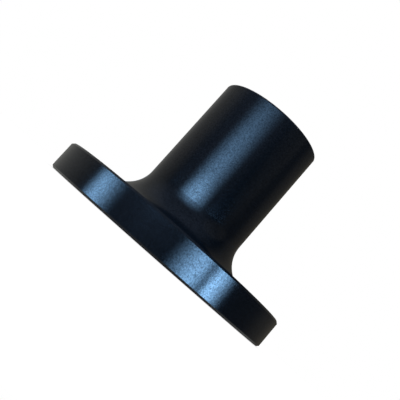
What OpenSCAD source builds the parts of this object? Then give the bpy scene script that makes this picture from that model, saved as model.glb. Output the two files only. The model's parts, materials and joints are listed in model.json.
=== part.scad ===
// Weld neck flange of size 65A (2 1/2 inch) with a pipe stub butt-welded to its neck.
// +Z runs along the bore, from the gasket face to the open end of the pipe.
// The origin is the centre of the gasket face. All sizes are in millimetres.

/* [Flange] */
// Outside diameter of the flange disc
flange_od = 175; // [170:1:220]
// Thickness of the flange disc
flange_t = 20; // [14:0.5:26]
// Chamfer that breaks both edges of the rim
rim_chamfer = 1.3; // [0.4:0.1:2]
// Concave root radius between the disc and the neck
root_r = 21; // [8:0.5:24]
// Chamfer at the bore's mouth in the gasket face
bore_chamfer = 1; // [0.3:0.1:2]

/* [Bolting] */
// Diameter of the bolt circle
bolt_circle_d = 140; // [138:1:142]
// Number of bolt holes, spaced evenly and straddling the X and Y axes
bolt_count = 8; // [4:4:8]
// Diameter of each bolt hole, for an M16 bolt
bolt_hole_d = 19; // [14:0.5:20]
// Diameter of the spot face that seats each nut
spot_face_d = 30; // [24:0.5:32]
// Depth of the spot face below the disc's back
spot_face_depth = 0.5; // [0.2:0.1:1]
// Chamfer at both ends of each bolt hole
hole_chamfer = 0.6; // [0.2:0.1:1]

/* [Pipe and neck] */
// Outside diameter of the pipe stub and of the flange's neck
pipe_od = 76.3; // [70:0.1:80]
// Wall thickness of the pipe stub and of the flange's neck
pipe_wall = 5.2; // [4:0.1:7]
// Length from the gasket face to the open end of the pipe
overall_l = 118; // [100:1:180]
// Radius that breaks the pipe's outer edge at its open end
pipe_edge_r = 1.2; // [0.4:0.1:1.6]
// Radius that breaks the pipe's inner edge at its open end
pipe_inner_edge_r = 0.6; // [0.3:0.1:1]

/* [Butt weld] */
// Distance from the gasket face to the middle of the weld
weld_z = 68; // [60:1:85]
// Bevel of each welded end, measured from the square-cut plane
bevel_angle = 37.5; // [30:0.5:40]
// Height of the unbevelled land at the bore
root_face = 1.6; // [0.8:0.1:2]
// Gap between the two lands
root_gap = 3; // [2:0.1:4]
// Thickness of the root pass above the bore wall
root_pass_t = 2.4; // [2.1:0.1:3]

/* [Hidden] */
$fn = 160;
flange_r = flange_od / 2;
neck_r = pipe_od / 2;
bore_r = neck_r - pipe_wall;
land_r = bore_r + root_face;
root_top_z = flange_t + root_r;
half_gap = root_gap / 2;
// Half of the groove's width at the pipe's outer surface
half_groove = half_gap + (neck_r - land_r) * tan(bevel_angle);
root_pass_r = bore_r + root_pass_t;
// Overlap that lets a cutter pass clear of the face it cuts
clear = 1;

// ---- Profiles: x is the distance from the bore's axis, y is the height ----

// What a rounded outer corner loses; the corner point is at the origin
module corner_waste(r, side) {
    translate([side * -r, -r])
        difference() {
            translate([side > 0 ? 0 : -r - clear, 0]) square([r + clear, r + clear]);
            circle(r);
        }
}

// What a chamfered corner loses; the corner point is at the origin
module chamfer_waste(size, up) {
    reach = size + clear;
    polygon([[-clear, -up * clear], [reach, -up * clear], [-clear, up * reach]]);
}

// The V groove between the two bevelled ends, from the bore to the outer surface
module groove_profile() {
    reach = half_groove + clear * tan(bevel_angle);
    translate([0, weld_z])
        polygon([
            [bore_r - clear, -half_gap], [land_r, -half_gap], [neck_r + clear, -reach],
            [neck_r + clear, reach], [land_r, half_gap], [bore_r - clear, half_gap]
        ]);
}

// The disc with its chamfered rim edges, not yet bored
module disc_profile() {
    difference() {
        square([flange_r, flange_t]);
        translate([flange_r, flange_t]) mirror([1, 0]) chamfer_waste(rim_chamfer, -1);
        translate([flange_r, 0]) mirror([1, 0]) chamfer_waste(rim_chamfer, 1);
    }
}

// The concave root between the disc's back and the neck
module root_profile() {
    difference() {
        translate([neck_r - clear, flange_t - clear]) square([root_r + clear, root_r + clear]);
        translate([neck_r + root_r, root_top_z]) circle(root_r);
    }
}

module flange_profile() {
    difference() {
        union() {
            disc_profile();
            square([neck_r, weld_z]);
            root_profile();
        }
        translate([0, -clear]) square([bore_r, weld_z + 2 * clear]);
        translate([bore_r, 0]) chamfer_waste(bore_chamfer, 1);
        groove_profile();
        translate([0, weld_z - half_gap]) square([flange_r, clear + root_gap]);
    }
}

module stub_profile() {
    difference() {
        translate([bore_r, weld_z]) square([pipe_wall, overall_l - weld_z]);
        translate([neck_r, overall_l]) corner_waste(pipe_edge_r, 1);
        translate([bore_r, overall_l]) corner_waste(pipe_inner_edge_r, -1);
        groove_profile();
    }
}

// ---- Cutters ----

// One bolt hole with its chamfers and its spot face
module bolt_hole_cutter() {
    hole_r = bolt_hole_d / 2;
    seat_z = flange_t - spot_face_depth;
    cone = hole_chamfer + clear;
    translate([0, 0, -clear]) cylinder(h = flange_t + root_r, r = hole_r);
    translate([0, 0, seat_z]) cylinder(h = root_r, r = spot_face_d / 2);
    translate([0, 0, -clear]) cylinder(h = cone, r1 = hole_r + cone, r2 = hole_r);
    translate([0, 0, seat_z - hole_chamfer]) cylinder(h = cone, r1 = hole_r, r2 = hole_r + cone);
}

// ---- Sub-parts ----

// The forging: disc, root radius and neck, bored through and bevelled for welding
module weld_neck_flange() {
    color([0.05, 0.06, 0.08])
        difference() {
            rotate_extrude() flange_profile();
            for (i = [0 : bolt_count - 1])
                rotate([0, 0, (i + 0.5) * 360 / bolt_count])
                    translate([bolt_circle_d / 2, 0, 0]) bolt_hole_cutter();
        }
}

// The part of the groove that lies between two distances from the bore's axis
module weld_ring(inner_r, outer_r) {
    rotate_extrude()
        intersection() {
            groove_profile();
            translate([inner_r, weld_z - half_groove]) square([outer_r - inner_r, 2 * half_groove]);
        }
}

// The first weld bead: it closes the root gap and is ground flush with the bore
module weld_root_pass() {
    color([0.45, 0.44, 0.42]) weld_ring(bore_r, root_pass_r);
}

// The later weld beads: they fill the groove and are ground flush with the pipe's outside
module weld_fill_passes() {
    color([0.07, 0.08, 0.10]) weld_ring(root_pass_r, neck_r);
}

// The length of pipe that carries the neck on to its square-cut open end
module pipe_stub() {
    color([0.05, 0.06, 0.08])
        rotate_extrude() stub_profile();
}

weld_neck_flange();
weld_root_pass();
weld_fill_passes();
pipe_stub();
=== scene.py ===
"""A weld neck flange with a pipe stub: finished meshes, coated steel, soft studio light, camera."""
import json
import math

import bmesh
import bpy
import numpy as np
from mathutils import Matrix, Vector


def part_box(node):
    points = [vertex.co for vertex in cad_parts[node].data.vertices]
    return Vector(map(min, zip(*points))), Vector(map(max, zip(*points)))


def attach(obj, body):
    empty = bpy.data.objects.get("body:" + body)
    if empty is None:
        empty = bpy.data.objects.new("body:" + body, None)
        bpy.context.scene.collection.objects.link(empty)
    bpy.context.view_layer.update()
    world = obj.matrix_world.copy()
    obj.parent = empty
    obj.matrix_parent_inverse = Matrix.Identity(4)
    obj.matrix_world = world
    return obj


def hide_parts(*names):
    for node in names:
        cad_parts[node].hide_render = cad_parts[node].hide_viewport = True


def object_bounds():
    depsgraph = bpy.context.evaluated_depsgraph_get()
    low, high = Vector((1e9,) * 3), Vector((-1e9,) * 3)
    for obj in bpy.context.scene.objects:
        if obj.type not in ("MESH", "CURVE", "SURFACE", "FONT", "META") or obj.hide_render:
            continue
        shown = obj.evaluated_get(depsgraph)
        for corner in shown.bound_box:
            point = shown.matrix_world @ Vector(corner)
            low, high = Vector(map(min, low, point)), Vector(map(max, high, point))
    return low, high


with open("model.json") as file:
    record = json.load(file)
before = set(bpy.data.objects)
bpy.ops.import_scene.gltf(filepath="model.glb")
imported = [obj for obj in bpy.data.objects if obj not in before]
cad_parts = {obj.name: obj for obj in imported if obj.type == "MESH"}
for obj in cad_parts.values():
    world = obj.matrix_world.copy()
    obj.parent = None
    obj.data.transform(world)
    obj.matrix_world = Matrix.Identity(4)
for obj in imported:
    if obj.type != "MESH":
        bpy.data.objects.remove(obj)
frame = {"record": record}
cad_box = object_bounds()

# ---------------------------------------------------------------- sizes, in metres
MM = 0.001
mounts = {mount["name"]: mount for mount in frame["record"]["mounts"]}
bolting = mounts["bolt_holes"]["dims"]

FLANGE_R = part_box("weld_neck_flange")[1].x
NECK_R = mounts["neck_outside"]["dims"]["r_mm"] * MM
BORE_R = mounts["flow_bore"]["dims"]["r_mm"] * MM
LENGTH = cad_box[1].z
WELD_LO_Z, WELD_HI_Z = (corner.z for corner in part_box("weld_fill_passes"))
FORGING_END_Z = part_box("weld_neck_flange")[1].z
STUB_START_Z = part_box("pipe_stub")[0].z
ROOT_PASS_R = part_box("weld_root_pass")[1].x
ROOT_FACE = 1.6 * MM
LAND_R = BORE_R + ROOT_FACE

FLANGE_T = 20 * MM
ROOT_R = 21 * MM
RIM_CHAMFER = 1.3 * MM
BORE_CHAMFER = 1 * MM
PIPE_EDGE_R = 1.2 * MM
PIPE_INNER_EDGE_R = 0.6 * MM

BOLT_CIRCLE_R = bolting["pcd_mm"] / 2 * MM
BOLT_HOLE_R = bolting["hole_r_mm"] * MM
BOLT_COUNT = bolting["count"]
HOLE_CHAMFER = 0.6 * MM
SPOT_FACE_R = 15 * MM
SPOT_FACE_DEPTH = 0.5 * MM

GROOVE_PITCH = 0.9 * MM
GROOVE_WIDTH = 0.63 * MM
GROOVE_DEPTH = 0.08 * MM
GROOVES_START_R = 36 * MM
GROOVES_END_R = 58 * MM

SEGMENTS = 256
HOLE_SEGMENTS = 96
# Points nearer than this after the holes are cut become one
MERGE_DISTANCE = 0.002 * MM
# A smaller angle between two faces is shaded smooth
SHARP_DEG = 28
# How strongly larger faces pull the shading towards their own direction, 50 being neutral
AREA_WEIGHT = 80


# ---------------------------------------------------------------- outlines
# A point of an outline is (distance from the axis, height).
def arc(centre, radius, start_deg, end_deg, steps):
    """Points along an arc, both ends included."""
    angles = np.radians(np.linspace(start_deg, end_deg, steps + 1))
    return [(centre[0] + radius * math.cos(a), centre[1] + radius * math.sin(a)) for a in angles]


def line(start, end, steps):
    """Points along a straight stretch, its end left out."""
    return [tuple(point) for point in np.linspace(start, end, steps, endpoint=False)]


def gasket_grooves():
    """Shallow turned grooves in the gasket face, from the bore out to the bolt holes."""
    points = []
    for inner_r in np.arange(GROOVES_START_R, GROOVES_END_R, GROOVE_PITCH):
        points += [(inner_r, 0), (inner_r + GROOVE_WIDTH / 2, GROOVE_DEPTH), (inner_r + GROOVE_WIDTH, 0)]
    return points


def forging_outline():
    """The flange forging, from the bore's upper end round by the gasket face and the rim."""
    root_out_r = NECK_R + ROOT_R
    points = line((BORE_R, FORGING_END_Z), (BORE_R, BORE_CHAMFER), steps=12)
    points += [(BORE_R, BORE_CHAMFER)]
    points += [(BORE_R + BORE_CHAMFER, 0)]
    points += gasket_grooves()
    points += [(FLANGE_R - RIM_CHAMFER, 0), (FLANGE_R, RIM_CHAMFER)]
    points += [(FLANGE_R, FLANGE_T - RIM_CHAMFER), (FLANGE_R - RIM_CHAMFER, FLANGE_T)]
    points += arc((root_out_r, FLANGE_T + ROOT_R), ROOT_R, 270, 180, steps=40)
    points += line((NECK_R, FLANGE_T + ROOT_R), (NECK_R, WELD_LO_Z), steps=8)[1:]
    points += [(NECK_R, WELD_LO_Z), (LAND_R, FORGING_END_Z)]
    return points


def stub_outline():
    """The pipe stub, from its welded end up to its square-cut open end."""
    edge_r = NECK_R - PIPE_EDGE_R
    inner_edge_r = BORE_R + PIPE_INNER_EDGE_R
    points = [(BORE_R, STUB_START_Z), (LAND_R, STUB_START_Z)]
    points += line((NECK_R, WELD_HI_Z), (NECK_R, LENGTH - PIPE_EDGE_R), steps=8)
    points += arc((edge_r, LENGTH - PIPE_EDGE_R), PIPE_EDGE_R, 0, 90, steps=10)
    points += arc((inner_edge_r, LENGTH - PIPE_INNER_EDGE_R), PIPE_INNER_EDGE_R, 90, 180, steps=6)
    return points


def root_pass_outline():
    """The root pass: the gap between the lands and the foot of the groove."""
    bevel = (NECK_R - LAND_R) / (FORGING_END_Z - WELD_LO_Z)
    rise = (ROOT_PASS_R - LAND_R) / bevel
    return [
        (BORE_R, FORGING_END_Z), (LAND_R, FORGING_END_Z), (ROOT_PASS_R, FORGING_END_Z - rise),
        (ROOT_PASS_R, STUB_START_Z + rise), (LAND_R, STUB_START_Z), (BORE_R, STUB_START_Z),
    ]


def fill_passes_outline():
    """The later passes, from the root pass out to the pipe's surface."""
    below, above = root_pass_outline()[2:4]
    return [below, (NECK_R, WELD_LO_Z), (NECK_R, WELD_HI_Z), above]


def bolt_hole_outline():
    """What one bolt takes out of the disc: its hole, two chamfers and the spot face."""
    clear = 1 * MM
    seat_z = FLANGE_T - SPOT_FACE_DEPTH
    return [
        (0, -clear), (BOLT_HOLE_R + HOLE_CHAMFER + clear, -clear), (BOLT_HOLE_R, HOLE_CHAMFER),
        (BOLT_HOLE_R, seat_z - HOLE_CHAMFER), (BOLT_HOLE_R + HOLE_CHAMFER, seat_z),
        (SPOT_FACE_R, seat_z), (SPOT_FACE_R, FLANGE_T + ROOT_R / 2), (0, FLANGE_T + ROOT_R / 2),
    ]


# ---------------------------------------------------------------- meshes
def turned(name, outline, segments=SEGMENTS):
    """A closed ring or disc made by turning an outline once round the Z axis."""
    mesh = bpy.data.meshes.new(name)
    work = bmesh.new()
    rings = []
    for radius, height in outline:
        if radius == 0:
            rings.append([work.verts.new((0, 0, height))])
            continue
        angles = [2 * math.pi * i / segments for i in range(segments)]
        rings.append([work.verts.new((radius * math.cos(a), radius * math.sin(a), height)) for a in angles])
    for ring, after in zip(rings, rings[1:] + rings[:1]):
        for i in range(segments):
            j = (i + 1) % segments
            corners = [ring[i % len(ring)], ring[j % len(ring)]]
            corners += [after[j % len(after)], after[i % len(after)]]
            # A point on the axis stands for its whole ring, so it comes twice
            corners = list(dict.fromkeys(corners))
            if len(corners) > 2:
                work.faces.new(corners)
    bmesh.ops.recalc_face_normals(work, faces=work.faces)
    work.to_mesh(mesh)
    work.free()
    piece = bpy.data.objects.new(name, mesh)
    bpy.context.scene.collection.objects.link(piece)
    return piece


def apply_modifiers(piece):
    """Makes what the modifiers show the piece's own mesh."""
    shown = piece.evaluated_get(bpy.context.evaluated_depsgraph_get())
    mesh = bpy.data.meshes.new_from_object(shown)
    piece.modifiers.clear()
    piece.data = mesh


def merge_close_points(piece):
    """Merges the near-doubled points that cutting leaves, so that no sliver of a face stays."""
    work = bmesh.new()
    work.from_mesh(piece.data)
    bmesh.ops.remove_doubles(work, verts=work.verts, dist=MERGE_DISTANCE)
    bmesh.ops.dissolve_degenerate(work, edges=work.edges, dist=MERGE_DISTANCE)
    work.to_mesh(piece.data)
    work.free()


def cut_bolt_holes(piece):
    """Takes the bolt holes out of the forging."""
    cutters = []
    for i in range(BOLT_COUNT):
        angle = (i + 0.5) * 2 * math.pi / BOLT_COUNT
        cutter = turned(f"cutter_{i}", bolt_hole_outline(), HOLE_SEGMENTS)
        place = Vector((math.cos(angle), math.sin(angle), 0)) * BOLT_CIRCLE_R
        cutter.data.transform(Matrix.Translation(place))
        cutters.append(cutter)
    for cutter in cutters:
        cut = piece.modifiers.new(cutter.name, "BOOLEAN")
        cut.operation = "DIFFERENCE"
        cut.solver = "EXACT"
        cut.object = cutter
    apply_modifiers(piece)
    for cutter in cutters:
        bpy.data.objects.remove(cutter)
    merge_close_points(piece)


def smooth(piece):
    """Smooth shading with crisp edges, and normals that follow the larger faces."""
    mesh = piece.data
    mesh.shade_smooth()
    mesh.set_sharp_from_angle(angle=math.radians(SHARP_DEG))
    weighted = piece.modifiers.new("weighted_normals", "WEIGHTED_NORMAL")
    weighted.keep_sharp = True
    weighted.weight = AREA_WEIGHT


def finish_piece(piece, node, material):
    """Shades a piece, gives it its material and lets it stand for a CAD node."""
    smooth(piece)
    piece.data.materials.clear()
    piece.data.materials.append(material)
    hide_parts(node)
    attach(piece, "root")


# ---------------------------------------------------------------- materials
class Nodes:
    """A short way to write a material's or the world's node tree."""

    def __init__(self, owner):
        owner.use_nodes = True
        self.tree = owner.node_tree
        self.tree.nodes.clear()

    def add(self, kind, inputs=None, **settings):
        """A new node. Each input is linked to a socket or set to a value."""
        node = self.tree.nodes.new(kind)
        for key, value in settings.items():
            setattr(node, key, value)
        for key, value in (inputs or {}).items():
            if isinstance(value, bpy.types.NodeSocket):
                self.tree.links.new(value, node.inputs[key])
            else:
                node.inputs[key].default_value = value
        return node

    def math(self, operation, a, b=0.0):
        return self.add("ShaderNodeMath", {0: a, 1: b}, operation=operation).outputs[0]

    def vector(self, operation, inputs):
        return self.add("ShaderNodeVectorMath", inputs, operation=operation)

    def noise(self, place, scale, detail, roughness):
        inputs = {"Vector": place, "Scale": scale, "Detail": detail, "Roughness": roughness}
        return self.add("ShaderNodeTexNoise", inputs).outputs["Fac"]

    def remap(self, value, from_lo, from_hi, to_lo, to_hi):
        inputs = {"Value": value, "From Min": from_lo, "From Max": from_hi}
        inputs |= {"To Min": to_lo, "To Max": to_hi}
        return self.add("ShaderNodeMapRange", inputs).outputs["Result"]

    def rise(self, value, start, end):
        """A smooth rise from 0 at the start to 1 at the end."""
        inputs = {"Value": value, "From Min": start, "From Max": end}
        return self.add("ShaderNodeMapRange", inputs, interpolation_type="SMOOTHSTEP").outputs["Result"]

    def blend(self, share, low, high):
        return self.add("ShaderNodeMix", {0: share, 6: low, 7: high}, data_type="RGBA").outputs[2]


# A noise's values lie between about these two
NOISE_LO = 0.3
NOISE_HI = 0.7
# Noise scales are in features per metre
CLOUD_SCALE = 45
FLECK_SCALE = 1000
RING_SCALE = 1800
# How much finer the grain is than the flecks
GRAIN_RATIO = 1.1
GRAIN_HEIGHT = 0.02 * MM
RING_HEIGHT = 0.012 * MM
# A face is level where its normal's Z passes this
LEVEL_Z = 0.999
PIGMENT_DARK = (0.001, 0.004, 0.010, 1)
PIGMENT_PALE = (0.003, 0.011, 0.026, 1)
# Strength of the reflection in the darkest and the brightest fleck
FLECK_CONTRAST = (0.35, 1.65)


def coated_steel(name, satin=(0.12, 0.15), fleck_scale=FLECK_SCALE, turning=0.0):
    """Satin blue-black coating over machined steel, with a roughness between the satin pair.

    It has fine flecks and grain, cloudy changes of sheen, and turned rings on faces that lie level.
    """
    material = bpy.data.materials.new(name)
    n = Nodes(material)
    place = n.add("ShaderNodeTexCoord").outputs["Object"]
    cloud = n.noise(place, CLOUD_SCALE, detail=4.0, roughness=0.6)
    roughness = n.remap(cloud, NOISE_LO, NOISE_HI, *satin)
    flecks = n.noise(place, fleck_scale, detail=4.0, roughness=0.75)
    grain = n.noise(place, fleck_scale * GRAIN_RATIO, detail=3.0, roughness=0.6)
    grain_height = n.math("MULTIPLY", grain, GRAIN_HEIGHT)

    flat = n.add("ShaderNodeMapping", {"Vector": place, "Scale": (1, 1, 0)}).outputs["Vector"]
    radius = n.vector("LENGTH", {0: flat}).outputs["Value"]
    ring_inputs = {"W": radius, "Scale": RING_SCALE, "Detail": 2.0}
    rings = n.add("ShaderNodeTexNoise", ring_inputs, noise_dimensions="1D").outputs["Fac"]
    facing = n.add("ShaderNodeNewGeometry").outputs["True Normal"]
    upright = n.add("ShaderNodeSeparateXYZ", {0: facing}).outputs["Z"]
    level = n.math("GREATER_THAN", n.math("ABSOLUTE", upright), LEVEL_Z)
    ring_height = n.math("MULTIPLY", n.math("MULTIPLY", rings, level), turning * RING_HEIGHT)
    height = n.math("ADD", grain_height, ring_height)

    normal = n.add("ShaderNodeBump", {"Height": height, "Strength": 1.0, "Distance": 1.0}).outputs["Normal"]
    fleck_share = n.remap(flecks, NOISE_LO, NOISE_HI, 0.0, 1.0)
    inputs = {
        "Base Color": n.blend(fleck_share, PIGMENT_DARK, PIGMENT_PALE),
        "Roughness": roughness,
        "Specular Tint": n.remap(flecks, NOISE_LO, NOISE_HI, *FLECK_CONTRAST),
        "Normal": normal,
    }
    surface = n.add("ShaderNodeBsdfPrincipled", inputs, distribution="GGX").outputs[0]
    n.add("ShaderNodeOutputMaterial", {"Surface": surface})
    return material


# ---------------------------------------------------------------- the object
forging = turned("flange_forging", forging_outline())
cut_bolt_holes(forging)
finish_piece(forging, "weld_neck_flange", coated_steel("coated_forging", turning=1.0))
root_bead = turned("weld_root_bead", root_pass_outline())
rough_steel = coated_steel("coated_root_bead", satin=(0.24, 0.34), fleck_scale=700)
finish_piece(root_bead, "weld_root_pass", rough_steel)
cap_bead = turned("weld_cap_bead", fill_passes_outline())
finish_piece(cap_bead, "weld_fill_passes", coated_steel("coated_cap_bead", satin=(0.125, 0.155)))
pipe = turned("pipe_length", stub_outline())
finish_piece(pipe, "pipe_stub", coated_steel("coated_pipe", turning=0.6))


# ---------------------------------------------------------------- floor, world and lights
FLOOR_HALF = 6.0
FLOOR_DROP = 0.2 * MM
FLOOR_COLOR = (0.8, 0.8, 0.8, 1)
FLOOR_GLOW = 0.75
FLOOR_DIM_COLOR = (1, 0.97, 0.92, 1)
FLOOR_DIM_GLOW = 0.25
WHITE = (1, 1, 1, 1)


def add_floor():
    """A plain pale floor just under the gasket face.

    Only the camera sees it pale. It lights the object dimly and isn't seen in reflections.
    """
    mesh = bpy.data.meshes.new("floor")
    corners = [(-FLOOR_HALF, -FLOOR_HALF, 0), (FLOOR_HALF, -FLOOR_HALF, 0),
               (FLOOR_HALF, FLOOR_HALF, 0), (-FLOOR_HALF, FLOOR_HALF, 0)]
    mesh.from_pydata(corners, [], [(0, 1, 2, 3)])
    floor = bpy.data.objects.new("floor", mesh)
    floor.location.z = cad_box[0].z - FLOOR_DROP
    bpy.context.scene.collection.objects.link(floor)
    material = bpy.data.materials.new("floor")
    n = Nodes(material)
    seen = n.add("ShaderNodeLightPath").outputs["Is Camera Ray"]
    matt = n.add("ShaderNodeBsdfDiffuse", {"Color": FLOOR_COLOR}).outputs[0]
    glow = n.add("ShaderNodeEmission", {"Color": WHITE, "Strength": FLOOR_GLOW}).outputs[0]
    pale = n.add("ShaderNodeAddShader", {0: matt, 1: glow}).outputs[0]
    dim = n.add("ShaderNodeEmission", {"Color": FLOOR_DIM_COLOR, "Strength": FLOOR_DIM_GLOW}).outputs[0]
    both = n.add("ShaderNodeMixShader", {0: seen, 1: dim, 2: pale}).outputs[0]
    n.add("ShaderNodeOutputMaterial", {"Surface": both})
    mesh.materials.append(material)
    floor.visible_glossy = False


def direction(azimuth_deg, elevation_deg):
    """Unit vector towards a light: azimuth 0 is the camera's side, 90 is +X."""
    azimuth = math.radians(azimuth_deg)
    elevation = math.radians(elevation_deg)
    level = Vector((math.sin(azimuth), -math.cos(azimuth), 0))
    return level * math.cos(elevation) + Vector((0, 0, math.sin(elevation)))


NEUTRAL = (1.0, 1.0, 0.95)
WARM = (1.0, 0.9, 0.7)
HAZE = (0.55, 0.7, 1.0)
DARK_ROOM = 0.016
# Light on the floor and on matt surfaces from all round
SOFT_FILL = 0.4

# Azimuth and elevation of each wall's middle, degrees from there to where its light is full and
# to where it is gone, brightness, tint. The first, second and fourth began as a brightness fit run
# outside this script, were rounded, and were then partly changed by trial.
ROOM = [
    (-130, 15, 15, 60, 0.23, NEUTRAL),
    (140, 20, 10, 45, 0.08, WARM),
    (90, 0, 15, 40, 0.035, WARM),
    (-30, 50, 25, 75, 0.27, HAZE),
    (60, 30, 15, 30, 0.08, NEUTRAL),
    (0, -90, 55, 85, 0.31, NEUTRAL),
]


def add_world():
    """White behind the object, a soft fill for the floor, and a dim room in reflections."""
    world = bpy.data.worlds.new("studio")
    bpy.context.scene.world = world
    n = Nodes(world)
    path = n.add("ShaderNodeLightPath")
    ray = n.add("ShaderNodeTexCoord").outputs["Generated"]

    def wall(azimuth, elevation, full_deg, gone_deg, brightness, tint):
        """Light from one side of the room, fading out as the ray turns away from it."""
        towards = direction(azimuth, elevation)
        facing = n.vector("DOT_PRODUCT", {0: ray, 1: towards}).outputs["Value"]
        full = math.cos(math.radians(full_deg))
        gone = math.cos(math.radians(gone_deg))
        strength = n.math("MULTIPLY", n.rise(facing, gone, full), brightness)
        return n.vector("SCALE", {0: tint, "Scale": strength}).outputs["Vector"]

    total = Vector(WARM) * DARK_ROOM
    for side in ROOM:
        total = n.vector("ADD", {0: total, 1: wall(*side)}).outputs["Vector"]
    white = n.add("ShaderNodeBackground", {"Color": WHITE, "Strength": 1.0}).outputs[0]
    fill = n.add("ShaderNodeBackground", {"Color": WHITE, "Strength": SOFT_FILL}).outputs[0]
    room = n.add("ShaderNodeBackground", {"Color": total, "Strength": 1.0}).outputs[0]
    unseen = n.add("ShaderNodeMixShader", {0: path.outputs["Is Glossy Ray"], 1: fill, 2: room}).outputs[0]
    shown = n.add("ShaderNodeMixShader", {0: path.outputs["Is Camera Ray"], 1: unseen, 2: white}).outputs[0]
    n.add("ShaderNodeOutputWorld", {"Surface": shown})


SKY_BLUE = (0.3, 0.6, 1.0, 1)

# Name, azimuths, elevations, radiance, fades, distance
# The fades are for the edges at the low azimuth, the high azimuth, the bottom and the top.
# All but window_back are results of the same brightness fit, rounded, with a few changed by trial.
WINDOWS = [
    ("window_left", (-77, -44), (-12, 7), 19, (0.5, 1.0, 0.05, 0.25), 0.45),
    ("window_right", (5, 40), (-12, 6), 23, (0.95, 0.4, 0.05, 0.1), 0.45),
    ("window_far_right", (37, 60), (-12, 5), 29, (0.35, 0.9, 0.05, 0.05), 0.45),
    ("window_above", (-53, 13), (8, 13), 22, (0.6, 0.6, 0.25, 0.85), 0.53),
    ("window_high", (-53, 13), (6.5, 40), 6.5, (0.6, 0.65, 0.25, 0.85), 0.53),
    ("window_back", (166, 196), (-30, 30), 7, (0.5, 0.5, 0.4, 0.5), 0.6),
]


def window(name, azimuth, elevation, radiance, fades, distance):
    """A glowing rectangle that only reflections see.

    From the disc's middle it lies between two azimuths and between two elevations. The fades are
    the shares of its size over which its four edges rise from nothing.
    """
    wide = math.radians(azimuth[1] - azimuth[0])
    tall = math.radians(elevation[1] - elevation[0])
    x = distance * math.tan(wide / 2)
    y = distance * math.tan(tall / 2)
    mesh = bpy.data.meshes.new(name)
    mesh.from_pydata([(-x, -y, 0), (x, -y, 0), (x, y, 0), (-x, y, 0)], [], [(0, 1, 2, 3)])
    panel = bpy.data.objects.new(name, mesh)
    towards = direction(sum(azimuth) / 2, sum(elevation) / 2)
    panel.location = Vector((0, 0, FLANGE_T / 2)) + towards * distance
    panel.rotation_mode = "QUATERNION"
    panel.rotation_quaternion = towards.to_track_quat("Z", "Y")
    bpy.context.scene.collection.objects.link(panel)
    material = bpy.data.materials.new(name)
    n = Nodes(material)
    place = n.add("ShaderNodeTexCoord").outputs["Generated"]
    across, up = n.add("ShaderNodeSeparateXYZ", {0: place}).outputs[:2]
    insets = [across, n.math("SUBTRACT", 1.0, across), up, n.math("SUBTRACT", 1.0, up)]
    strength = radiance
    for inset, fade in zip(insets, fades):
        strength = n.math("MULTIPLY", n.rise(inset, 0.0, fade), strength)
    glow = n.add("ShaderNodeEmission", {"Color": SKY_BLUE, "Strength": strength}).outputs[0]
    clear = n.add("ShaderNodeBsdfTransparent").outputs[0]
    both = n.add("ShaderNodeAddShader", {0: glow, 1: clear}).outputs[0]
    n.add("ShaderNodeOutputMaterial", {"Surface": both})
    mesh.materials.append(material)
    panel.visible_camera = False
    panel.visible_diffuse = False
    panel.visible_shadow = False


add_floor()
add_world()
for details in WINDOWS:
    window(*details)


# ---------------------------------------------------------------- camera
CAMERA_PLACE = Vector((0, -0.3787, 0.0033))
CAMERA_TARGET = Vector((-0.0020, 0, 0.0477))
CAMERA_ROLL_DEG = 41.4
CAMERA_LENS = 51.7


def add_camera():
    """The camera lies almost in the plane of the gasket face and is rolled about its own axis."""
    camera = bpy.data.objects.new("camera", bpy.data.cameras.new("camera"))
    camera.data.lens = CAMERA_LENS
    camera.data.clip_start = 0.01
    ahead = (CAMERA_TARGET - CAMERA_PLACE).normalized()
    right = ahead.cross(Vector((0, 0, 1))).normalized()
    level = Matrix((right, right.cross(ahead), -ahead)).transposed().to_4x4()
    roll = Matrix.Rotation(math.radians(CAMERA_ROLL_DEG), 4, "Z")
    camera.matrix_world = Matrix.Translation(CAMERA_PLACE) @ level @ roll
    bpy.context.scene.collection.objects.link(camera)
    bpy.context.scene.camera = camera


add_camera()
bpy.context.scene.view_settings.view_transform = "Standard"
